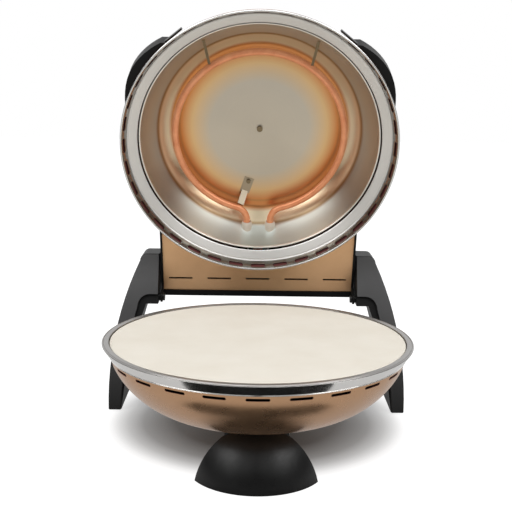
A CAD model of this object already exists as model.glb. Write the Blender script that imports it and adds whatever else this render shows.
"""Countertop clamshell stone oven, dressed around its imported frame.

Lengths are written in millimetres and turned into metres by MM. X is to the right, Y to the back
and Z up; the origin is on the floor under the front foot. The lid's pieces are modelled in the
lid's own frame, whose Z runs from the lid's rim plane into its dome, and are then swung open.
"""

from __future__ import annotations

import logging
import math
from collections.abc import Callable, Iterator, Sequence
from contextlib import contextmanager
from dataclasses import dataclass, field
from enum import Enum

import bpy
from mathutils import Matrix, Vector


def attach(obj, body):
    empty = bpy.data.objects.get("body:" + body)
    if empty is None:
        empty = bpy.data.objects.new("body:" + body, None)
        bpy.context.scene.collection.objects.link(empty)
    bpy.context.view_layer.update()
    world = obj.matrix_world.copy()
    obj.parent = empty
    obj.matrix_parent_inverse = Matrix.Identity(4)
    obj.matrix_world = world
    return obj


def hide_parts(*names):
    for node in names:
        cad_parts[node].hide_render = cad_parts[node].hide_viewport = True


LOG = logging.getLogger("stone_oven")
MM = 0.001

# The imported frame, and the box it fills.
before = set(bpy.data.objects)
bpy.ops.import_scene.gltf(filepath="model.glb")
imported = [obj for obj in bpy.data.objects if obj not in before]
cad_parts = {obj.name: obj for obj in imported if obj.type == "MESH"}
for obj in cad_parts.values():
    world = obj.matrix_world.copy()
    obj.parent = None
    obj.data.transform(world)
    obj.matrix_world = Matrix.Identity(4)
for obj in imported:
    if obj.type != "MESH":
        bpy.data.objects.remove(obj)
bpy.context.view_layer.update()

# Places that the frame gives, in millimetres.
BOWL_Y = 85.0
HINGE_Y = 284.0
HINGE_Z = 128.0
HINGE_BACK = 199.0
LID_Z = 131.2
OPEN_ANGLE = math.radians(70.7)
RIM_R = 161.0
RIM_H = 130.6
BAND_Z = 118.6
DISH_R = 153.0
GLAND_X = 14.5
GLAND_Y = 123.6
GLAND_Z = 46.0

# Vertices nearer than MERGE millimetres become one, faces within FLAT degrees are one face, edges
# sharper than SMOOTH degrees stay sharp, and those sharper than ROUNDED degrees can be rounded.
MERGE = 0.004
FLAT = 0.6
SMOOTH = 35.0
ROUNDED = 30.0

# The powers of a shell's curve, along its side and along its base.
SIDE, BASE = 0.78, 1.42

BOWL_FRAME = Matrix.Translation((0, BOWL_Y * MM, 0))
LID_FRAME = (
    Matrix.Translation((0, HINGE_Y * MM, HINGE_Z * MM))
    @ Matrix.Rotation(-OPEN_ANGLE, 4, "X")
    @ Matrix.Translation((0, -HINGE_BACK * MM, (LID_Z - HINGE_Z) * MM))
)

Profile = list[tuple[float, float]]
Colour = tuple[float, float, float]
Piece = bpy.types.Object
Material = bpy.types.Material
Socket = bpy.types.NodeSocket


class Body(str, Enum):
    """The moving groups that pieces ride on."""

    BASE = "base"
    LID = "lid"
    STONE = "stone"
    THERMOSTAT = "thermostat_dial"
    TIMER = "timer_dial"


# ------------------------------------------------------------------------------- modelling


@contextmanager
def editing(piece: Piece, select: str = "SELECT") -> Iterator[None]:
    """Opens a piece in edit mode and closes it again.

    Args:
        piece: The mesh object to edit.
        select: What select_all does on entry.

    Yields:
        Nothing, while the piece is in edit mode.
    """
    only(piece)
    bpy.ops.object.mode_set(mode="EDIT")
    bpy.ops.mesh.select_mode(type="VERT")
    bpy.ops.mesh.select_all(action=select)
    yield
    bpy.ops.object.mode_set(mode="OBJECT")


def only(piece: Piece) -> None:
    """Makes a piece the one selected and active object.

    Args:
        piece: The object to select.
    """
    bpy.ops.object.select_all(action="DESELECT")
    piece.select_set(True)
    bpy.context.view_layer.objects.active = piece


def added(name: str, data: bpy.types.ID) -> Piece:
    """Puts a new object with some data in the scene.

    Args:
        name: The object's name.
        data: Its mesh, curve, lamp or camera.

    Returns:
        The object.
    """
    piece = bpy.data.objects.new(name, data)
    bpy.context.scene.collection.objects.link(piece)
    return piece


def settle(piece: Piece, place: Matrix | None = None) -> Piece:
    """Puts a piece at its place and applies it, so that the object sits at the origin.

    Args:
        piece: The object to settle.
        place: The frame it was modelled in, if not the world's.

    Returns:
        The same object.
    """
    if place is not None:
        piece.matrix_world = place @ piece.matrix_world
    only(piece)
    bpy.ops.object.transform_apply(location=True, rotation=True, scale=True)
    return piece


def finish_mesh(piece: Piece, angle: float = SMOOTH) -> None:
    """Merges doubles, points the faces outwards and shades the piece smooth by angle.

    Args:
        piece: The mesh object.
        angle: Edges sharper than this many degrees stay sharp.
    """
    with editing(piece):
        bpy.ops.mesh.remove_doubles(threshold=MERGE * MM)
        bpy.ops.mesh.normals_make_consistent(inside=False)
    smooth(piece, angle)


def modify(piece: Piece, kind: str, **settings: object) -> None:
    """Adds a modifier to a piece and applies it.

    Args:
        piece: The mesh object.
        kind: The modifier's type name.
        **settings: Its settings, by name.
    """
    only(piece)
    modifier = piece.modifiers.new(kind.lower(), kind)
    for key, value in settings.items():
        setattr(modifier, key, value)
    bpy.ops.object.modifier_apply(modifier=modifier.name)


def smooth(piece: Piece, angle: float = SMOOTH) -> None:
    """Shades a piece smooth, apart from edges sharper than an angle in degrees."""
    only(piece)
    bpy.ops.object.shade_smooth_by_angle(angle=math.radians(angle))


def weigh(piece: Piece) -> None:
    """Weighs the normals by face area, so that flat faces beside a rounding stay flat."""
    modify(piece, "WEIGHTED_NORMAL", keep_sharp=True)


def cut(piece: Piece, cutter: Piece) -> None:
    """Cuts one mesh out of another, and removes the cutter."""
    modify(piece, "BOOLEAN", operation="DIFFERENCE", solver="EXACT", object=cutter)
    bpy.data.objects.remove(cutter)


def join(pieces: Sequence[Piece], name: str) -> Piece:
    """Joins meshes into one named object.

    Args:
        pieces: The objects to join.
        name: The joined object's name.

    Returns:
        The joined object.
    """
    bpy.ops.object.select_all(action="DESELECT")
    for piece in pieces:
        piece.select_set(True)
    bpy.context.view_layer.objects.active = pieces[0]
    if len(pieces) > 1:
        bpy.ops.object.join()
    joined = bpy.context.view_layer.objects.active
    joined.name = name
    return joined


def copies(piece: Piece, places: Sequence[Matrix]) -> list[Piece]:
    """Puts a copy of a piece, each with its own mesh, at every place, and removes the first.

    Args:
        piece: The object to repeat.
        places: Where each copy goes, before the piece's own place.

    Returns:
        The copies.
    """
    made = []
    for place in places:
        twin = added(piece.name, piece.data.copy())
        twin.matrix_world = place @ piece.matrix_world
        made.append(twin)
    bpy.data.objects.remove(piece)
    return made


def turned(name: str, profile: Profile, steps: int = 192, loop: bool = False) -> Piece:
    """Draws a profile round the Z axis by extruding and resizing a ring.

    Args:
        name: The object's name.
        profile: Points as (radius, height) in millimetres; a radius of 0 closes a pole.
        steps: Vertices round the axis.
        loop: Whether the last point runs back to the first.

    Returns:
        The turned mesh, at the origin.
    """
    pole = 0.002
    points = [(max(r, pole), z) for r, z in profile]
    if loop:
        points.append(points[0])
    r0, z0 = points[0]
    bpy.ops.object.select_all(action="DESELECT")
    bpy.ops.mesh.primitive_circle_add(vertices=steps, radius=r0 * MM, location=(0, 0, 0))
    piece = bpy.context.object
    piece.name = name
    with editing(piece):
        bpy.ops.transform.translate(value=(0, 0, z0 * MM))
        for (ra, za), (rb, zb) in zip(points, points[1:]):
            bpy.ops.mesh.extrude_edges_move(
                TRANSFORM_OT_translate={"value": (0, 0, (zb - za) * MM)}
            )
            bpy.ops.transform.resize(value=(rb / ra, rb / ra, 1), center_override=(0, 0, zb * MM))
    return piece


def spun(name: str, profile: Profile, place: Matrix, loop: bool = True,
         around: bool = False) -> Piece:
    """Turns a profile, cleans the mesh and puts it at its place.

    Args:
        name: The object's name.
        profile: Points as (radius, height), in millimetres.
        place: The frame it is modelled in.
        loop: Whether the last point runs back to the first.
        around: Whether it needs the UV map that runs round its axis.

    Returns:
        The finished mesh.
    """
    piece = turned(name, profile, loop=loop)
    finish_mesh(piece, 50)
    if around:
        unroll(piece)
    return settle(piece, place)


def slab(name: str, low: Sequence[float], high: Sequence[float]) -> Piece:
    """A block between two corners.

    Args:
        name: The object's name.
        low: The lowest corner, in millimetres.
        high: The highest corner, in millimetres.

    Returns:
        The block's mesh.
    """
    bpy.ops.object.select_all(action="DESELECT")
    centre = [(a + b) / 2 * MM for a, b in zip(low, high)]
    bpy.ops.mesh.primitive_cube_add(size=1, location=centre)
    piece = bpy.context.object
    piece.name = name
    piece.scale = [(b - a) * MM for a, b in zip(low, high)]
    return settle(piece)


def slot_prism(width: float, height: float, depth: float) -> Piece:
    """A flat prism with round ends that cuts one slot; its depth runs along Z.

    Args:
        width: End-to-end length along X, in millimetres.
        height: Height along Y.
        depth: Depth along Z, centred.

    Returns:
        The prism, at the origin.
    """
    sides = 20
    bpy.ops.object.select_all(action="DESELECT")
    bpy.ops.mesh.primitive_cylinder_add(vertices=sides, radius=height / 2 * MM, depth=depth * MM,
                                        rotation=(0, 0, math.pi / sides))
    piece = settle(bpy.context.object)
    for side in (-1, 1):
        with editing(piece, "DESELECT"):
            bpy.ops.object.mode_set(mode="OBJECT")
            for vertex in piece.data.vertices:
                vertex.select = vertex.co.x * side > 0
            bpy.ops.object.mode_set(mode="EDIT")
            bpy.ops.transform.translate(value=(side * (width - height) / 2 * MM, 0, 0))
    return piece


def refined(node: str, name: str, width: float, segments: int = 2) -> Piece:
    """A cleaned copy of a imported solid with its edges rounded.

    Args:
        node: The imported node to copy.
        name: The new piece's name.
        width: Width of the rounding in millimetres.
        segments: Steps across the rounding.

    Returns:
        The new piece.
    """
    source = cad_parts[node]
    piece = source.copy()
    piece.data = source.data.copy()
    piece.parent = None
    piece.name = name
    for key in list(piece.keys()):
        del piece[key]
    bpy.context.scene.collection.objects.link(piece)
    piece.data.materials.clear()
    with editing(piece):
        bpy.ops.mesh.remove_doubles(threshold=MERGE * MM)
        bpy.ops.mesh.dissolve_limited(angle_limit=math.radians(FLAT))
    modify(piece, "BEVEL", width=width * MM, segments=segments, limit_method="ANGLE",
           angle_limit=math.radians(ROUNDED), harden_normals=False, use_clamp_overlap=True)
    smooth(piece)
    weigh(piece)
    return piece


def unroll(piece: Piece) -> None:
    """Gives a turned piece, still about the Z axis, a UV map whose U runs round the axis.

    Args:
        piece: The turned mesh.
    """
    rows_per_metre = 4
    layer = piece.data.uv_layers.new(name="around")
    vertices = piece.data.vertices
    for face in piece.data.polygons:
        turns = []
        for corner in face.loop_indices:
            place = vertices[piece.data.loops[corner].vertex_index].co
            turns.append(math.atan2(place.y, place.x) / math.tau)
        crosses = max(turns) - min(turns) > 0.5
        for corner, turn in zip(face.loop_indices, turns):
            place = vertices[piece.data.loops[corner].vertex_index].co
            across = math.hypot(place.x, place.y) - place.z
            along = turn + 1 if crosses and turn < 0 else turn
            layer.data[corner].uv = (along, across * rows_per_metre)


def tube(name: str, points: Sequence[Vector], diameter: float, sides: int = 20) -> Piece:
    """A round rod along points, as a mesh.

    Args:
        name: The object's name.
        points: The middle line, in millimetres.
        diameter: Outside diameter in millimetres.
        sides: Vertices round the rod.

    Returns:
        The rod's mesh.
    """
    curve = bpy.data.curves.new(name, "CURVE")
    curve.dimensions = "3D"
    curve.bevel_depth = diameter / 2 * MM
    curve.bevel_resolution = max(1, sides // 4 - 1)
    curve.use_fill_caps = True
    spline = curve.splines.new("POLY")
    spline.points.add(len(points) - 1)
    for point, place in zip(spline.points, points):
        point.co = (*(place * MM), 1)
    only(added(name, curve))
    bpy.ops.object.convert(target="MESH")
    piece = bpy.context.object
    piece.name = name
    return piece


def arc(centre: Vector, radius: float, start: float, end: float, steps: int) -> list[Vector]:
    """Points on a flat arc about Z.

    Args:
        centre: Its centre, in millimetres.
        radius: Its radius, in millimetres.
        start: The first point's angle, in degrees from +X.
        end: The last point's angle.
        steps: How many parts it has.

    Returns:
        The points.
    """
    angles = [math.radians(start + (end - start) * i / steps) for i in range(steps + 1)]
    return [centre + Vector((math.cos(a), math.sin(a), 0)) * radius for a in angles]


def softened(corners: Sequence[tuple[float, float, float]], steps: int = 5) -> Profile:
    """Rounds the corners of a profile.

    Args:
        corners: Points as (radius, height, rounding), in millimetres.
        steps: Points along each rounding.

    Returns:
        The profile with an arc at each corner that has a rounding.
    """
    points: Profile = []
    for i, (r, z, rounding) in enumerate(corners):
        if rounding <= 0 or i in (0, len(corners) - 1):
            points.append((r, z))
            continue
        here = Vector((r, z))
        before = Vector(corners[i - 1][:2]) - here
        after = Vector(corners[i + 1][:2]) - here
        reach = min(rounding, before.length * 0.48, after.length * 0.48)
        start = here + before.normalized() * reach
        end = here + after.normalized() * reach
        for k in range(steps + 1):
            t = k / steps
            point = start * (1 - t) ** 2 + here * 2 * t * (1 - t) + end * t * t
            points.append((point.x, point.y))
    return points


def shell(rim_r: float, flat_r: float, start: float, rise: float, steps: int) -> Profile:
    """The profile of a bowed shell, from its rim to the edge of its flat.

    Args:
        rim_r: Radius at the rim, in millimetres.
        flat_r: Radius of the flat.
        start: Height of the rim.
        rise: Height of the flat above the rim, or below it where negative.
        steps: Parts along the curve.

    Returns:
        The profile.
    """
    turns = [math.radians(90 * i / steps) for i in range(steps + 1)]
    return [(flat_r + (rim_r - flat_r) * max(0.0, math.cos(t)) ** SIDE,
             start + rise * math.sin(t) ** BASE) for t in turns]


def cut_slots(piece: Piece, prism: Piece, at: tuple[float, float], lean: float,
              count: int) -> None:
    """Cuts a row of slots round a turned piece.

    Args:
        piece: The turned mesh, about the Z axis.
        prism: The shape of one slot, which is used up.
        at: Radius and height of a slot's middle, in millimetres.
        lean: How far a slot faces up from the level, in radians.
        count: How many slots there are.
    """
    prism.matrix_world = (
        Matrix.Translation((0, -at[0] * MM, at[1] * MM))
        @ Matrix.Rotation(math.pi / 2 - lean, 4, "X")
    )
    turns = [Matrix.Rotation(math.tau * i / count, 4, "Z") for i in range(count)]
    cut(piece, join(copies(prism, turns), "slot_cutter"))


def gland_pair(name: str, profile: Profile) -> Piece:
    """A turned piece at both places where the heater tube goes through the reflector's wall.

    Args:
        name: The object's name.
        profile: Its profile, from inside the lid outwards.

    Returns:
        Both pieces as one mesh, in the lid's frame.
    """
    gland = turned("gland", profile, steps=40)
    finish_mesh(gland, 40)
    gland.matrix_world = Matrix.Rotation(-math.pi / 2, 4, "X")
    spots = [Matrix.Translation((side * GLAND_X * MM, GLAND_Y * MM, GLAND_Z * MM))
             for side in (-1, 1)]
    return join(copies(gland, spots), name)


def two_finishes(piece: Piece, first: Material, second: Material,
                 is_second: Callable[[bpy.types.MeshPolygon], bool]) -> None:
    """Gives some of a piece's faces a second finish.

    Args:
        piece: The mesh object.
        first: The finish of the other faces.
        second: The finish of those faces.
        is_second: Tells whether a face is one of them.
    """
    piece.data.materials.append(first)
    piece.data.materials.append(second)
    for face in piece.data.polygons:
        face.material_index = 1 if is_second(face) else 0


def line_inside(piece: Piece, centre: Vector, finishes: Finishes) -> None:
    """Paints a copper shell, darker on the faces that look towards a point inside it.

    Args:
        piece: The shell's mesh.
        centre: The point inside it, in metres.
        finishes: Every material on the oven.
    """
    two_finishes(piece, finishes.copper, finishes.copper_inside,
                 lambda face: face.normal.dot(face.center - centre) < 0)


def dress(piece: Piece, body: Body, finish: Material, node: str) -> None:
    """Gives a piece its finish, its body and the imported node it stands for.

    Args:
        piece: The finished mesh.
        body: The moving group it rides on.
        finish: Its material.
        node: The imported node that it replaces.
    """
    if not piece.data.materials:
        piece.data.materials.append(finish)
    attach(piece, body.value)
    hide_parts(node)
    LOG.info("%s on %s: %d faces", piece.name, body.value, len(piece.data.polygons))


# ------------------------------------------------------------------------------- finishes


class Graph:
    """A material's node tree, with short calls to add and join nodes."""

    def __init__(self, name: str) -> None:
        """Starts a material with one Principled shader.

        Args:
            name: The material's name.
        """
        self.material = bpy.data.materials.new(name)
        self.material.use_nodes = True
        self.tree = self.material.node_tree
        self.shader = self.tree.nodes["Principled BSDF"]
        self.coordinates = self.add("ShaderNodeTexCoord")

    def add(self, kind: str, **values: object) -> bpy.types.Node:
        """Adds a node, sets its properties and sets or links its inputs.

        Args:
            kind: The node's type name.
            **values: Properties by name, or inputs by name with spaces as underscores.

        Returns:
            The new node.
        """
        node = self.tree.nodes.new(kind)
        for key, value in values.items():
            if hasattr(node, key):
                setattr(node, key, value)
            else:
                self.feed(node.inputs[key.replace("_", " ")], value)
        return node

    def feed(self, target: Socket, value: object) -> None:
        """Links a socket into an input, or sets the input to a colour or a number.

        Args:
            target: The input.
            value: The socket, colour or number.
        """
        if isinstance(value, Socket):
            self.tree.links.new(value, target)
        elif isinstance(value, tuple):
            target.default_value = (*value, 1)
        else:
            target.default_value = value

    def place(self, frame_of: Matrix | None = None) -> Socket:
        """A Mapping node on Object coordinates, turned into a piece's own frame.

        Args:
            frame_of: The frame whose coordinates the pattern follows.

        Returns:
            The vector socket.
        """
        node = self.add("ShaderNodeMapping", Vector=self.coordinates.outputs["Object"])
        if frame_of is not None:
            inverse = frame_of.inverted()
            node.inputs["Rotation"].default_value = inverse.to_euler()
            node.inputs["Location"].default_value = inverse.translation
        return node.outputs["Vector"]

    def noise(self, vector: Socket, scale: float, detail: float) -> Socket:
        """A noise pattern.

        Args:
            vector: Where the pattern is read.
            scale: How fine it is.
            detail: How many finer layers it has.

        Returns:
            The pattern's value.
        """
        node = self.add("ShaderNodeTexNoise", Vector=vector, Scale=scale, Detail=detail,
                        Roughness=0.55)
        return node.outputs["Fac"]

    def ramp(self, value: Socket, low: float, high: float,
             start: float = 0.0, end: float = 1.0) -> Socket:
        """A value moved from one range to another.

        Args:
            value: The value to move.
            low: Where the first range starts.
            high: Where it ends.
            start: What low becomes.
            end: What high becomes.

        Returns:
            The moved value, kept inside the second range.
        """
        node = self.add("ShaderNodeMapRange", Value=value, From_Min=low, From_Max=high,
                        To_Min=start, To_Max=end)
        return node.outputs["Result"]

    def mix(self, value: Socket, first: Sequence[float] | Socket,
            second: Sequence[float] | Socket) -> Socket:
        """A colour between two colours.

        Args:
            value: 0 for the first colour, 1 for the second.
            first: A colour or a socket.
            second: A colour or a socket.

        Returns:
            The mixed colour.
        """
        node = self.add("ShaderNodeMix", data_type="RGBA", Factor=value)
        for target, colour in zip((s for s in node.inputs if s.type == "RGBA"), (first, second)):
            self.feed(target, colour)
        return [s for s in node.outputs if s.type == "RGBA"][0]

    def bump(self, height: Socket, strength: float, distance: float) -> None:
        """Adds a bump to the shader's normal, on top of any that it has.

        Args:
            height: The bump's pattern.
            strength: How much of it shows.
            distance: Its height, in metres.
        """
        node = self.add("ShaderNodeBump", Height=height, Strength=strength, Distance=distance)
        previous = self.shader.inputs["Normal"]
        if previous.is_linked:
            self.feed(node.inputs["Normal"], previous.links[0].from_socket)
        self.set(Normal=node.outputs["Normal"])

    def split(self, vector: Socket) -> bpy.types.NodeOutputs:
        """A vector's X, Y and Z.

        Args:
            vector: The vector to split.

        Returns:
            The node's outputs, by name.
        """
        return self.add("ShaderNodeSeparateXYZ", Vector=vector).outputs

    def radius(self, vector: Socket) -> Socket:
        """The distance of a place from its frame's Z axis.

        Args:
            vector: The place, in that frame.

        Returns:
            The distance, in metres.
        """
        parts = self.split(vector)
        flat = self.add("ShaderNodeCombineXYZ", X=parts["X"], Y=parts["Y"])
        length = self.add("ShaderNodeVectorMath", operation="LENGTH", Vector=flat.outputs[0])
        return length.outputs["Value"]

    def bands(self, value: Socket, stops: Sequence[tuple[float, Colour]]) -> Socket:
        """A colour that changes with a value.

        Args:
            value: The value that it follows.
            stops: Pairs of value and colour, in rising order.

        Returns:
            The colour.
        """
        low, high = stops[0][0], stops[-1][0]
        ramp = self.add("ShaderNodeValToRGB")
        points = ramp.color_ramp.elements
        while len(points) < len(stops):
            points.new(0.5)
        for point, (at, colour) in zip(points, stops):
            point.position = (at - low) / (high - low)
        for point, (_, colour) in zip(points, stops):
            point.color = (*colour, 1)
        self.feed(ramp.inputs["Fac"], self.ramp(value, low, high))
        return ramp.outputs["Color"]

    def brushed(self, amount: float) -> None:
        """Stretches the highlights across brush lines that run round a turned piece.

        Args:
            amount: The shader's anisotropy, 0 to 1.
        """
        tangent = self.add("ShaderNodeTangent", direction_type="UV_MAP", uv_map="around")
        self.set(Tangent=tangent.outputs[0], Anisotropic=amount, Anisotropic_Rotation=0.25)

    def set(self, **values: object) -> None:
        """Sets the shader's own inputs.

        Args:
            **values: A socket, a colour or a number for each input, with spaces as underscores.
        """
        for key, value in values.items():
            self.feed(self.shader.inputs[key.replace("_", " ")], value)


@dataclass(frozen=True)
class Paint:
    """Metallic paint under a clear coat, with fine flake, a soft mottle and orange peel."""

    name: str
    light: Colour
    dark: Colour
    metallic: float = 0.9
    roughness: float = 0.3
    coat: float = 0.25
    flake: float = 2600.0

    def build(self) -> Material:
        """Makes the material.

        Returns:
            The material, ready for a slot.
        """
        graph = Graph(self.name)
        where = graph.place()
        mottle = graph.ramp(graph.noise(where, 14.0, 3), 0.35, 0.65)
        grain = graph.ramp(graph.noise(where, self.flake, 2), 0.3, 0.7)
        colour = graph.mix(mottle, self.dark, self.light)
        graph.set(
            Base_Color=graph.mix(grain, colour, self.light),
            Metallic=self.metallic,
            Roughness=graph.ramp(graph.noise(where, 60.0, 3), 0.3, 0.7,
                                 self.roughness - 0.03, self.roughness + 0.04),
            Coat_Weight=self.coat,
            Coat_Roughness=0.12,
        )
        graph.bump(graph.noise(where, 420.0, 2), 0.01, 0.0001)
        return graph.material


@dataclass(frozen=True)
class Turned:
    """Steel with fine brush lines that run round an axis."""

    name: str
    colour: Colour
    frame_of: Matrix
    roughness: float = 0.3
    lines: float = 0.18
    stretch: float = 0.5
    tints: tuple[tuple[float, Colour], ...] = ()

    def build(self) -> Material:
        """Makes the material.

        Returns:
            The material, ready for a slot.
        """
        graph = Graph(self.name)
        where = graph.place(self.frame_of)
        away = graph.radius(where)
        ring = graph.add("ShaderNodeCombineXYZ", X=away, Y=graph.split(where)["Z"])
        brush = graph.noise(ring.outputs["Vector"], 900.0, 2)
        cloud = graph.ramp(graph.noise(where, 9.0, 3), 0.3, 0.7, 0.0, 0.12)
        base = graph.bands(away, self.tints) if self.tints else self.colour
        streak = graph.ramp(brush, 0.3, 0.7, 0.0, 0.03)
        shade = tuple(c * 0.55 for c in self.colour)
        graph.set(
            Base_Color=graph.mix(streak, graph.mix(cloud, base, shade), shade),
            Metallic=1.0,
            Roughness=graph.ramp(brush, 0.25, 0.75, self.roughness - 0.02, self.roughness + 0.03),
        )
        if self.lines:
            graph.bump(brush, self.lines, 0.00004)
        if self.stretch:
            graph.brushed(self.stretch)
        return graph.material


@dataclass(frozen=True)
class Polished:
    """Polished or plated metal with faint handling marks."""

    name: str
    colour: Colour
    roughness: float = 0.08

    def build(self) -> Material:
        """Makes the material.

        Returns:
            The material, ready for a slot.
        """
        graph = Graph(self.name)
        where = graph.place()
        marks = graph.noise(where, 40.0, 5)
        graph.set(
            Base_Color=graph.mix(graph.ramp(marks, 0.3, 0.7), tuple(c * 0.94 for c in self.colour),
                                 self.colour),
            Metallic=1.0,
            Roughness=graph.ramp(marks, 0.3, 0.7, self.roughness, self.roughness + 0.06),
        )
        graph.bump(graph.noise(where, 900.0, 2), 0.04, 0.00005)
        return graph.material


@dataclass(frozen=True)
class Plastic:
    """Moulded plastic with a fine spark texture and slightly rubbed gloss."""

    name: str
    colour: Colour
    roughness: float = 0.42
    texture: float = 0.12
    grain: float = 1500.0
    shine: float = 0.25
    low: Colour | None = None

    def build(self) -> Material:
        """Makes the material.

        Returns:
            The material, ready for a slot.
        """
        graph = Graph(self.name)
        where = graph.place()
        fine = graph.noise(where, self.grain, 3)
        cloud = graph.ramp(graph.noise(where, 18.0, 3), 0.3, 0.7)
        lighter = tuple(min(1.0, c * 1.2 + 0.001) for c in self.colour)
        colour = graph.mix(cloud, self.colour, lighter)
        if self.low:
            height = graph.ramp(graph.split(where)["Z"], 0.0, 0.15)
            colour = graph.mix(height, self.low, colour)
        rubbed = graph.ramp(graph.noise(where, 6.0, 4), 0.35, 0.7, 0.0, 0.06)
        rough = graph.ramp(fine, 0.25, 0.75, self.roughness - 0.05, self.roughness + 0.08)
        worn = graph.add("ShaderNodeMath", operation="SUBTRACT")
        graph.feed(worn.inputs[0], rough)
        graph.feed(worn.inputs[1], rubbed)
        graph.set(
            Base_Color=colour,
            Roughness=worn.outputs[0],
            Specular_IOR_Level=self.shine,
        )
        graph.bump(fine, self.texture, 0.0002)
        return graph.material


@dataclass(frozen=True)
class FiredStone:
    """Pale refractory stone with fine grit, faint blotches and small pores."""

    name: str
    light: Colour
    dark: Colour

    def build(self) -> Material:
        """Makes the material.

        Returns:
            The material, ready for a slot.
        """
        graph = Graph(self.name)
        where = graph.place()
        blotch = graph.ramp(graph.noise(where, 22.0, 5), 0.35, 0.7)
        grit = graph.ramp(graph.noise(where, 900.0, 3), 0.35, 0.75)
        colour = graph.mix(blotch, self.light, self.dark)
        pores = graph.add("ShaderNodeTexVoronoi", Vector=where, Scale=420.0)
        graph.set(
            Base_Color=graph.mix(grit, colour, tuple(c * 0.96 for c in self.light)),
            Roughness=0.85,
        )
        graph.bump(graph.ramp(pores.outputs["Distance"], 0.0, 0.25), 0.25, 0.0002)
        graph.bump(grit, 0.3, 0.0002)
        return graph.material


@dataclass(frozen=True)
class Heated:
    """Heater sheath with an oxidised, coppery skin."""

    name: str
    light: Colour
    dark: Colour

    def build(self) -> Material:
        """Makes the material.

        Returns:
            The material, ready for a slot.
        """
        graph = Graph(self.name)
        where = graph.place()
        cloud = graph.ramp(graph.noise(where, 70.0, 5), 0.3, 0.7)
        graph.set(
            Base_Color=graph.mix(cloud, self.dark, self.light),
            Metallic=0.3,
            Roughness=graph.ramp(cloud, 0, 1, 0.30, 0.38),
            Coat_Weight=0.3,
            Coat_Roughness=0.25,
        )
        graph.bump(graph.noise(where, 1400.0, 3), 0.1, 0.0001)
        return graph.material


class Finishes:
    """Every material on the oven."""

    def __init__(self) -> None:
        """Builds the materials once."""
        olive, halo, umber = (0.36, 0.22, 0.09), (0.90, 0.74, 0.50), (0.52, 0.24, 0.08)
        steel, tan, orange = (0.58, 0.62, 0.58), (0.74, 0.50, 0.25), (0.68, 0.27, 0.08)
        pale, cream = (0.57, 0.52, 0.44), (0.90, 0.87, 0.80)
        heat = ((0.0, pale), (0.060, pale), (0.082, tan), (0.0945, orange), (0.0965, umber),
                (0.099, orange), (0.106, orange), (0.110, halo), (0.119, halo), (0.1215, olive),
                (0.124, steel), (0.1388, steel), (0.1396, cream), (0.145, cream))
        face, edge = (0.34, 0.34, 0.33), (0.78, 0.78, 0.77)
        lip = ((0.150, face), (0.1585, face), (0.1594, edge), (0.162, edge))
        self.copper = Paint("copper_paint", (0.52, 0.30, 0.165), (0.47, 0.285, 0.165), 0.97,
                            0.28, 0.15).build()
        self.cover = Paint("copper_cover", (0.88, 0.54, 0.28), (0.70, 0.40, 0.20), 0.55,
                           0.42, 0.2).build()
        self.copper_inside = Paint("copper_paint_inside", (0.16, 0.045, 0.04),
                                   (0.11, 0.03, 0.03), 0.2, 0.6, 0.0).build()
        self.band = Polished("band_steel", (0.80, 0.79, 0.77), 0.08).build()
        self.lip = Turned("lip_steel", (0.36, 0.36, 0.35), LID_FRAME, 0.16, 0.0, 0.0, lip).build()
        self.bowl_ring = Turned("ring_steel", (0.33, 0.32, 0.31), BOWL_FRAME, 0.34).build()
        self.lid_ring = Turned("lid_ring_steel", (0.76, 0.75, 0.73), LID_FRAME, 0.48).build()
        self.reflector = Turned("reflector_steel", steel, LID_FRAME, 0.32, 0.0, 0.7,
                                heat).build()
        self.reflector_tab = Polished("tab_steel", (0.24, 0.19, 0.12), 0.38).build()
        self.clip = Polished("clip_steel", (0.42, 0.36, 0.27), 0.42).build()
        self.pan = Turned("pan_steel", (0.60, 0.58, 0.54), BOWL_FRAME, 0.3, 0.18, 0.0).build()
        self.plain = Polished("zinc_plate", (0.60, 0.56, 0.47), 0.3).build()
        self.black_steel = Plastic("black_steel", (0.010, 0.010, 0.010), 0.35, 0.08).build()
        self.stone = FiredStone("fired_stone", (0.76, 0.72, 0.64), (0.70, 0.65, 0.56)).build()
        self.heater = Heated("heater_sheath", (0.95, 0.40, 0.19), (0.80, 0.27, 0.11)).build()
        self.ceramic = Plastic("glazed_ceramic", (0.68, 0.60, 0.50), 0.3, 0.03, 1500.0, 0.5).build()
        self.sleeve = Plastic("glass_sleeve", (0.62, 0.60, 0.55), 0.8, 0.4, 2400.0).build()
        self.black = Plastic("black_moulding", (0.008, 0.008, 0.008), 0.46, shine=0.10).build()
        self.foot = Plastic("foot_moulding", (0.004, 0.004, 0.004), 0.34, 0.05, 900.0, 0.36).build()
        self.panel = Plastic("leg_panel", (0.072, 0.072, 0.073), 0.42, 0.10, 1500.0, 0.2,
                             low=(0.009, 0.009, 0.009)).build()
        self.knob = Plastic("knob_black", (0.018, 0.018, 0.018), 0.4).build()
        self.lens = Plastic("lamp_lens", (0.70, 0.10, 0.02), 0.15, 0.02, 1500.0, 0.5).build()
        self.bulb = Polished("bulb_copper", (0.72, 0.40, 0.26), 0.3).build()
        self.rubber = Plastic("rubber", (0.016, 0.016, 0.016), 0.8, 0.4, 900.0).build()


# ------------------------------------------------------------------------------- the bowl


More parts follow.
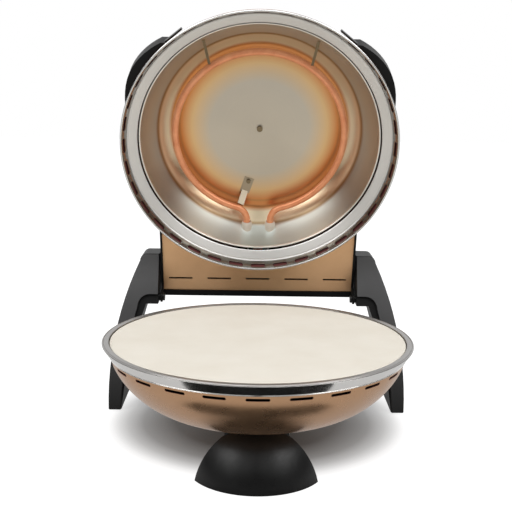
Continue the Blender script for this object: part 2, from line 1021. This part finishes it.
@dataclass
class Bowl:
    """The copper dish, its steel rim and the stone in it."""

    finishes: Finishes
    wall: float = 1.2
    depth: float = 63.5
    flat_r: float = 50.0
    slots: int = 24
    slot_w: float = 22.0
    slot_h: float = 3.0
    slot_z: float = 114.3
    slot_reach: float = 14.0
    stone_r: float = 153.0
    stone_top: float = 130.0

    def dish(self, inset: float) -> Profile:
        """The dish's profile from its rim to its flat base, smaller by an inset."""
        return shell(DISH_R - inset, self.flat_r, BAND_Z, inset - self.depth, 40)

    def build_dish(self) -> None:
        """Spins the dish and cuts its vent slots."""
        bottom = BAND_Z - self.depth
        profile = [(0.0, bottom), *reversed(self.dish(0.0)), *self.dish(self.wall),
                   (0.0, bottom + self.wall)]
        piece = turned("bowl_dish", profile)
        finish_mesh(piece)
        prism = slot_prism(self.slot_w, self.slot_h, self.slot_reach)
        cut_slots(piece, prism, (DISH_R, self.slot_z), 0.0, self.slots)
        finish_mesh(piece, 30)
        settle(piece, BOWL_FRAME)
        line_inside(piece, Vector((0, BOWL_Y * MM, BAND_Z * MM)), self.finishes)
        dress(piece, Body.BASE, self.finishes.copper, "bowl_shell")

    def build_band(self) -> None:
        """Spins the polished band under the rim, with its rolled lower edge."""
        corners = [
            (160.2, RIM_H - 1.2, 0), (RIM_R, RIM_H - 1.2, 0.3), (153.6, 118.8, 0.2),
            (154.2, 118.5, 0.3), (153.6, 117.9, 0.3), (152.2, 118.1, 0.4), (152.4, 120.0, 0.8),
            (158.6, RIM_H - 3.0, 1.0), (158.6, RIM_H - 1.2, 0),
        ]
        piece = turned("bowl_band", softened(corners), loop=True)
        finish_mesh(piece, 50)
        weigh(piece)
        settle(piece, BOWL_FRAME)
        dress(piece, Body.BASE, self.finishes.band, "rim_band")

    def build_ring(self) -> None:
        """Spins the flat satin ring round the stone."""
        corners = [
            (153.7, 123.6, 0), (153.7, RIM_H - 0.2, 0.6), (154.4, RIM_H, 0.4),
            (158.7, RIM_H, 0.2), (158.9, RIM_H - 0.5, 0.1), (159.3, RIM_H - 0.5, 0.1),
            (159.5, RIM_H, 0.3), (160.2, RIM_H, 0.5), (RIM_R, RIM_H - 0.7, 0.6),
            (160.4, RIM_H - 1.3, 0.3),
            (155.0, RIM_H - 1.2, 0.3), (154.4, RIM_H - 2.0, 0.4), (154.4, 123.6, 0),
        ]
        piece = spun("bowl_ring", softened(corners), BOWL_FRAME, around=True)
        dress(piece, Body.BASE, self.finishes.bowl_ring, "rim_ring")

    def build_stone(self) -> None:
        """Spins the stone with its flange and softened edges."""
        r, top = self.stone_r, self.stone_top
        corners = [
            (0, top, 0), (r - 4, top, 0), (r, top - 0.1, 1.4), (r, 123.6, 0.8), (146.0, 123.6, 0.4),
            (145.8, 117.1, 1.2), (0, 117.1, 0),
        ]
        piece = spun("stone_disc", softened(corners), BOWL_FRAME, loop=False)
        dress(piece, Body.STONE, self.finishes.stone, "pizza_stone")

    def build(self) -> None:
        """Builds every bowl piece."""
        self.build_dish()
        self.build_band()
        self.build_ring()
        self.build_stone()


# ------------------------------------------------------------------------------- the lid


@dataclass
class Lid:
    """The dome, its polished lip, the light ring and the reflector."""

    finishes: Finishes
    skirt_h: float = 10.0
    dome_r: float = 159.0
    dome_h: float = 78.0
    flat_r: float = 60.0
    wall: float = 1.2
    bead_r: float = 1.2
    lip_r: float = 154.0
    lip_h: float = 11.5
    ring_r: float = 142.5
    ring_z: float = 18.0
    liner_r: float = 140.7
    liner_z: float = 22.0
    wall_end: tuple[float, float] = (122.0, 50.0)
    ceiling: tuple[float, float] = (104.0, 65.0)
    window: tuple[tuple[float, ...], tuple[float, ...]] = ((-32, 117, 30), (32, 167, 56))
    slots: int = 36
    slot_w: float = 18.0
    slot_h: float = 5.0
    slot_reach: float = 9.0

    def dome(self, inset: float) -> Profile:
        """The dome's profile from its skirt to its flat top, smaller by an inset."""
        rise = self.dome_h - self.skirt_h - inset
        return shell(self.dome_r - inset, self.flat_r, self.skirt_h, rise, 36)

    def build_dome(self) -> None:
        """Spins the outer dome and cuts its window to the box."""
        bead = 2 * self.bead_r
        profile = [(0.0, self.dome_h), *reversed(self.dome(0.0)), (RIM_R, bead),
                   (RIM_R - self.wall, bead), *self.dome(self.wall),
                   (0.0, self.dome_h - self.wall)]
        piece = turned("lid_dome", profile)
        finish_mesh(piece, 40)
        cut(piece, slab("window", *self.window))
        settle(piece, LID_FRAME)
        line_inside(piece, LID_FRAME.translation, self.finishes)
        dress(piece, Body.LID, self.finishes.copper, "lid_shell")

    def bead(self, r: float, z: float, start: float, end: float) -> Profile:
        """Points round a rolled edge.

        Args:
            r: Radius of the roll's middle, in millimetres.
            z: Its height.
            start: The first point's angle, in degrees.
            end: The last point's angle.

        Returns:
            The points.
        """
        steps = 18
        angles = [math.radians(start + (end - start) * i / steps) for i in range(steps + 1)]
        return [(r + self.bead_r * math.cos(a), z + self.bead_r * math.sin(a)) for a in angles]

    def build_lip(self) -> None:
        """Spins the flared lip with its rolled edge and cuts its slots."""
        thick = 0.8
        half = (RIM_R + self.lip_r) / 2
        profile = [(self.lip_r, self.lip_h), (self.lip_r, self.lip_h + thick),
                   (half - 0.4, self.lip_h / 2 + 1.0),
                   *self.bead(RIM_R - self.bead_r, self.bead_r, 150, -150),
                   (half - 0.5, self.lip_h / 2 + 0.1)]
        piece = turned("lid_lip_trim", profile, steps=288, loop=True)
        finish_mesh(piece, 40)
        prism = slot_prism(self.slot_w, self.slot_h, self.slot_reach)
        lean = math.atan2(RIM_R - self.lip_r, self.lip_h)
        cut_slots(piece, prism, (half, self.lip_h / 2), lean, self.slots)
        finish_mesh(piece, 40)
        settle(piece, LID_FRAME)
        dress(piece, Body.LID, self.finishes.lip, "lid_lip")

    def build_ring(self) -> None:
        """Spins the light satin ring between the lip and the reflector."""
        slope = (self.ring_z - self.lip_h) / (self.lip_r - self.ring_r)
        lift = 0.8
        corners = [
            (self.lip_r, self.lip_h, 0), (self.lip_r - 1.2, self.lip_h + 1.2 * slope + 0.5, 0.6),
            (self.lip_r - 2.0, self.lip_h + 2.0 * slope, 0.6),
            (self.ring_r + 0.9, self.ring_z - 0.9 * slope, 0.5),
            (self.ring_r, self.ring_z + 0.5, 0.3), (self.ring_r + 0.6, self.ring_z + lift, 0),
            (self.lip_r, self.lip_h + lift + 0.2, 0),
        ]
        piece = spun("lid_inner_ring", softened(corners), LID_FRAME, around=True)
        dress(piece, Body.LID, self.finishes.lid_ring, "lid_ring")

    def build_reflector(self) -> None:
        """Spins the reflector: rolled edge, sloping wall, rounded corner and flat ceiling."""
        we_r, we_z = self.wall_end
        ce_r, ce_z = self.ceiling
        thick = 0.8
        corners = [
            (0.0, ce_z, 0), (ce_r, ce_z, 3.0), (we_r, we_z, 4.0),
            (self.liner_r - self.bead_r, self.liner_z + 0.8, 0),
        ]
        face = softened(corners, 8)
        back = [(self.liner_r + thick, self.liner_z + 3.4), (we_r + thick, we_z + thick / 2),
                (ce_r + thick / 3, ce_z + thick), (0.0, ce_z + thick)]
        profile = [*face, *self.bead(self.liner_r, self.liner_z, 190, 420), *back]
        piece = turned("lid_reflector", profile)
        finish_mesh(piece, 40)
        bore, reach = 6.5, 12.0
        profile = [(0.0, -reach), (bore, -reach), (bore, reach), (0.0, reach)]
        cut(piece, gland_pair("gland_bores", profile))
        smooth(piece, 40)
        unroll(piece)
        settle(piece, LID_FRAME)
        dress(piece, Body.LID, self.finishes.reflector, "lid_liner")

    def build(self) -> None:
        """Builds every lid shell piece."""
        self.build_dome()
        self.build_lip()
        self.build_ring()
        self.build_reflector()


@dataclass
class UpperHeater:
    """The bent heater tube in the lid with its glands, straps and clip."""

    finishes: Finishes
    ring_r: float = 101.0
    diameter: float = 8.0
    bend_r: float = 18.0
    back_y: float = 139.6

    def middle_line(self) -> list[Vector]:
        """The tube's middle line from one end round to the other.

        Returns:
            Its points in the lid's frame, in millimetres.
        """
        reach = self.ring_r + self.bend_r
        lean = math.degrees(math.asin((self.bend_r + GLAND_X) / reach))
        bend_y = reach * math.cos(math.radians(lean))
        level = Vector((0, 0, GLAND_Z))
        right = Vector((GLAND_X + self.bend_r, bend_y, GLAND_Z))
        left = Vector((-right.x, bend_y, GLAND_Z))
        line = [Vector((-GLAND_X, self.back_y, GLAND_Z))]
        line += arc(left, self.bend_r, 0, -(90 - lean), 14)
        line += arc(level, self.ring_r, 90 + lean, 450 - lean, 150)[1:-1]
        line += arc(right, self.bend_r, 180 + 90 - lean, 180, 14)
        line.append(Vector((GLAND_X, self.back_y, GLAND_Z)))
        return line

    def build_tube(self) -> None:
        """Sweeps the heater tube."""
        piece = tube("upper_heater", self.middle_line(), self.diameter, 28)
        finish_mesh(piece, 60)
        settle(piece, LID_FRAME)
        dress(piece, Body.LID, self.finishes.heater, "upper_element")

    def build_glands(self) -> None:
        """Turns the two stepped glands in the reflector's wall."""
        bore = self.diameter / 2 + 0.1
        profile = softened([
            (bore, -1.0, 0), (bore, -6.4, 0.2), (bore + 0.5, -7.0, 0.4), (5.4, -7.0, 0.4),
            (6.0, -6.2, 0.4), (6.0, -5.0, 0.3), (6.5, -4.6, 0.3), (6.5, 4.6, 0.4), (bore, 5.0, 0),
        ])
        piece = gland_pair("heater_glands", profile)
        settle(piece, LID_FRAME)
        dress(piece, Body.LID, self.finishes.ceramic, "element_glands")

    def build(self) -> None:
        """Builds the heater's pieces."""
        self.build_tube()
        self.build_glands()


# ------------------------------------------------------------------------------- the rest


@dataclass
class Legs:
    """The two tall legs, their grey panels and the front foot."""

    finishes: Finishes
    lean: float = 20.8
    facing: float = 0.9

    def blacken_edges(self, panel: Piece) -> None:
        """Leaves a panel's front face grey and gives its edges the legs' black.

        Args:
            panel: The panel's mesh.
        """
        lean = math.radians(self.lean)
        front = Vector((0, -math.cos(lean), math.sin(lean)))
        two_finishes(panel, self.finishes.panel, self.finishes.black,
                     lambda face: face.normal.dot(front) <= self.facing)

    def build(self) -> None:
        """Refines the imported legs, panels and foot."""
        for side in ("left", "right"):
            body = refined(f"leg_{side}", f"leg_shell_{side}", 1.2, 3)
            dress(body, Body.BASE, self.finishes.black, f"leg_{side}")
            panel = refined(f"leg_cover_{side}", f"leg_panel_{side}", 1.2, 3)
            self.blacken_edges(panel)
            dress(panel, Body.BASE, self.finishes.panel, f"leg_cover_{side}")
        foot = refined("front_foot", "foot_dome", 0.8)
        dress(foot, Body.BASE, self.finishes.foot, "front_foot")


@dataclass
class Handles:
    """The two black horns behind the lid's rim."""

    finishes: Finishes
    rounding: float = 2.5

    def build(self) -> None:
        """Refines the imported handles."""
        for side in ("left", "right"):
            horn = refined(f"handle_{side}", f"horn_{side}", self.rounding, 4)
            dress(horn, Body.LID, self.finishes.black, f"handle_{side}")


@dataclass
class ControlBox:
    """The copper cover, its black sides and the controls on the lid's back."""

    finishes: Finishes
    cover_rounding: float = 0.35
    knob_rounding: float = 0.5
    sides: tuple[tuple[str, float], ...] = (("cheek_left", 0.6), ("cheek_right", 0.6),
                                            ("end_cover", 0.8), ("top_panel", 0.6))

    def build(self) -> None:
        """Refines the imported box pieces."""
        cover = refined("box_cover", "cover_plate", self.cover_rounding)
        dress(cover, Body.LID, self.finishes.cover, "box_cover")
        for name, rounding in self.sides:
            side = refined(f"box_{name}", name, rounding)
            dress(side, Body.LID, self.finishes.black, f"box_{name}")
        for node, body in (("thermostat_knob", Body.THERMOSTAT), ("timer_knob", Body.TIMER)):
            knob = refined(node, f"{node}_cap", self.knob_rounding)
            dress(knob, body, self.finishes.knob, node)


@dataclass
class PackedParts:
    """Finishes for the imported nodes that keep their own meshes."""

    finishes: Finishes

    def build(self) -> None:
        """Puts each finish in its nodes' slots."""
        mats = self.finishes
        groups = {
            mats.pan: ("bowl_pan",),
            mats.heater: ("lower_element",),
            mats.plain: ("lower_clips", "foot_screws", "yoke_screws", "hinge_nuts",
                "handle_screws", "bulb_clips", "timer"),
            mats.ceramic: ("lower_terminals", "thermostat", "terminal_block"),
            mats.sleeve: ("lower_leads", "element_leads"),
            mats.black: ("lead_conduit", "leg_back_left", "leg_back_right"),
            mats.rubber: ("foot_pad", "leg_pads", "cord_gland"),
            mats.black_steel: ("rear_yoke", "yoke_tongue", "hinge_pin_left", "hinge_pin_right",
                "hinge_washers", "handle_brackets", "box_screws"),
            mats.reflector_tab: ("element_straps", "clip_screw", "centre_screw"),
            mats.clip: ("element_clip",),
            mats.bulb: ("thermostat_bulb",),
            mats.lens: ("pilot_lamp",),
        }
        for finish, names in groups.items():
            for name in names:
                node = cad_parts[name]
                if not node.data.materials:
                    node.data.materials.append(finish)
                for slot in node.material_slots:
                    slot.material = finish
                LOG.info("%s keeps its packed mesh", name)


# ------------------------------------------------------------------------------- the studio


@dataclass
class Studio:
    """Camera, lamps, floor, dark cards and world."""

    camera_at: tuple[float, float, float] = (-5.509, -869.058, 389.121)
    down: float = 10.222
    turn: float = -0.152
    roll: float = 0.751
    lens: float = 66.378
    room_light: float = 0.3
    aim_at: tuple[float, float, float] = (0.0, 0.15, 0.15)
    floor_albedo: float = 0.26
    floor_light: float = 0.35
    floor_gloss: float = 0.42
    shade_y: float = 0.2
    shade: Profile = field(default_factory=lambda: [
        (0.095, 0.0), (0.118, 0.08), (0.132, 0.14), (0.150, 0.36), (0.160, 0.55),
        (0.170, 0.78), (0.184, 1.0)])
    foot_y: float = -0.01
    flag: tuple[float, float, int] = (196.0, 24.0, 42)
    flag_y: float = 116.0
    flag_taper: float = 10.0
    black: Colour = (0.004, 0.004, 0.004)

    def build_camera(self) -> None:
        """Sets the camera at the viewing angle."""
        data = bpy.data.cameras.new("camera")
        data.lens = self.lens
        data.sensor_width = 36.0
        data.clip_start = 0.01
        camera = added("camera", data)
        camera.matrix_world = (
            Matrix.Translation(Vector(self.camera_at) * MM)
            @ Matrix.Rotation(math.radians(self.turn), 4, "Z")
            @ Matrix.Rotation(math.radians(90 - self.down), 4, "X")
            @ Matrix.Rotation(math.radians(self.roll), 4, "Z")
        )
        bpy.context.scene.camera = camera

    def lamp(self, name: str, at: Sequence[float], size: Sequence[float], watts: float) -> None:
        """Adds a soft rectangular lamp that faces the oven's middle.

        Args:
            name: The lamp's name.
            at: Its place in metres.
            size: Its width and height in metres.
            watts: Its power.
        """
        data = bpy.data.lights.new(name, "AREA")
        data.shape = "RECTANGLE"
        data.size, data.size_y = size
        data.energy = watts
        lamp = added(name, data)
        lamp.location = at
        aim = Vector(self.aim_at) - Vector(at)
        lamp.rotation_euler = aim.to_track_quat("-Z", "Y").to_euler()

    def build_floor(self) -> None:
        """A floor that is white outside the bowl's shade and grey under it.

        The shade's edge is part of the material, about a fixed point, and the lamps' shadows fall
        on it too. Glossy surfaces see a grey floor that is black close to the foot.
        """
        bpy.ops.object.select_all(action="DESELECT")
        bpy.ops.mesh.primitive_plane_add(size=12, location=(0, 0, 0))
        floor = settle(bpy.context.object)
        floor.name = "floor"
        graph = Graph("floor_white")
        where = graph.place(Matrix.Translation((0.0, self.shade_y, 0.0)))
        level = graph.bands(graph.radius(where), [(at, (v, v, v)) for at, v in self.shade])
        path = graph.add("ShaderNodeLightPath").outputs
        near = graph.radius(graph.place(Matrix.Translation((0.0, self.foot_y, 0.0))))
        by_foot = {"low": 0.04, "high": 0.085}
        grey = graph.ramp(near, **by_foot, end=self.floor_gloss)
        dim = graph.ramp(near, **by_foot, end=self.floor_albedo)
        graph.set(
            Base_Color=graph.mix(path["Is Glossy Ray"], (self.floor_albedo,) * 3, dim),
            Roughness=1.0,
            Specular_IOR_Level=0.0,
            Emission_Color=graph.mix(path["Is Glossy Ray"], level, grey),
            Emission_Strength=graph.ramp(path["Is Diffuse Ray"], 0.0, 1.0, 1.0, self.floor_light),
        )
        floor.data.materials.append(graph.material)

    def darken(self, card: Piece) -> None:
        """Makes a card black and shows it only in glossy surfaces.

        Args:
            card: The card's mesh.
        """
        graph = Graph(card.name)
        graph.set(Base_Color=self.black, Roughness=1.0, Specular_IOR_Level=0.0)
        card.data.materials.append(graph.material)
        card.visible_camera = card.visible_diffuse = card.visible_shadow = False

    def build_flag(self) -> None:
        """A curved dark card on the floor in front of the bowl, with tapered ends."""
        middle, half, spread = self.flag
        steps = [math.radians(a) for a in range(-spread, spread + 1, 4)]
        taper = [min(1.0, (spread - abs(math.degrees(a))) / self.flag_taper) for a in steps]
        edge = [(middle - half * t, a) for a, t in zip(steps, taper)]
        edge += [(middle + half * t, a) for a, t in zip(steps[-2:0:-1], taper[-2:0:-1])]
        ring = [(r * math.sin(a) * MM, (self.flag_y - r * math.cos(a)) * MM, 0.5 * MM)
                for r, a in edge]
        data = bpy.data.meshes.new("band_flag")
        data.from_pydata(ring, [], [list(range(len(ring)))])
        self.darken(added("band_flag", data))

    def build_cards(self) -> None:
        """The dark cards behind the camera and at the room's walls."""
        side, front, low, high = 2200, -1700, 60, 850
        for name, first, last in (
            ("camera_side", (-110, front, 100), (110, front + 10, 2300)),
            ("room_front", (-side, front - 20, low), (side, front - 10, high)),
            ("room_left", (-side - 20, front - 20, low), (-side - 10, 1500, high)),
            ("room_right", (side + 10, front - 20, low), (side + 20, 1500, high)),
        ):
            self.darken(slab(name, first, last))

    def build_world(self) -> None:
        """A plain bright room: white to the camera and to gloss, softer as light."""
        world = bpy.data.worlds.new("room")
        bpy.context.scene.world = world
        world.use_nodes = True
        nodes, links = world.node_tree.nodes, world.node_tree.links
        background = nodes["Background"]
        background.inputs["Color"].default_value = (1, 1, 1, 1)
        path = nodes.new("ShaderNodeLightPath").outputs
        seen = path["Is Camera Ray"]
        for ray in ("Is Glossy Ray", "Is Transmission Ray"):
            either = nodes.new("ShaderNodeMath")
            either.operation = "MAXIMUM"
            links.new(seen, either.inputs[0])
            links.new(path[ray], either.inputs[1])
            seen = either.outputs[0]
        strength = nodes.new("ShaderNodeMapRange")
        strength.inputs["To Min"].default_value = self.room_light
        strength.inputs["To Max"].default_value = 1.0
        links.new(seen, strength.inputs["Value"])
        links.new(strength.outputs["Result"], background.inputs["Strength"])

    def build(self) -> None:
        """Builds the studio."""
        bpy.context.scene.view_settings.view_transform = "Standard"
        self.build_camera()
        self.build_floor()
        self.build_flag()
        self.build_cards()
        self.build_world()
        for name, side in (("left", -1), ("right", 1)):
            self.lamp(name, (side * 1.22, -0.55, 1.41), (1.2, 1.2), 15)
        self.lamp("top", (0.0, -0.35, 2.0), (1.2, 0.9), 12)


def main() -> None:
    """Builds the oven and its studio, and reports each piece."""
    logging.basicConfig(level=logging.INFO, format="%(message)s")
    finishes = Finishes()
    for part in (Bowl(finishes), Lid(finishes), UpperHeater(finishes), Legs(finishes),
                 Handles(finishes), ControlBox(finishes), PackedParts(finishes), Studio()):
        LOG.info("building %s", type(part).__name__)
        part.build()
    bpy.context.view_layer.update()


if __name__ == "__main__":
    main()
